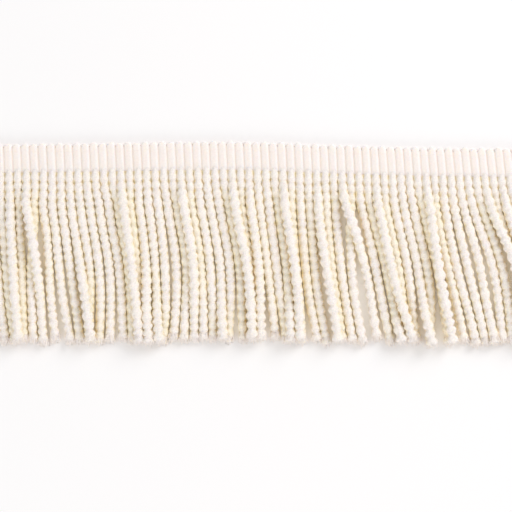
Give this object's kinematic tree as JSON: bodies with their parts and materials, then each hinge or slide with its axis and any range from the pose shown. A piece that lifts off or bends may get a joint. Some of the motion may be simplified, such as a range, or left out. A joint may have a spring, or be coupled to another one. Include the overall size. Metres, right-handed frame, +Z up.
{
  "type": "bullion fringe",
  "caption": "Cut length of fringe trim lying flat: a ribbed woven heading tape with a twisted two-ply cord hanging from each rib.",
  "frame": {"origin": "middle of the heading's underside, where the trim is sewn or glued down and where it rests on a table", "axes": "+Z up out of the face, +X along the heading, the cords hang towards -Y"},
  "size_m": [0.1883, 0.066, 0.0056],
  "materials": {
    "heading_yarn": "matt ribbed weave, ivory",
    "cord_yarn": "matt soft-twisted yarn, ivory"
  },
  "bodies": {
    "root": {"heading": "heading_yarn", "skirt": "cord_yarn"}
  },
  "joints": []
}
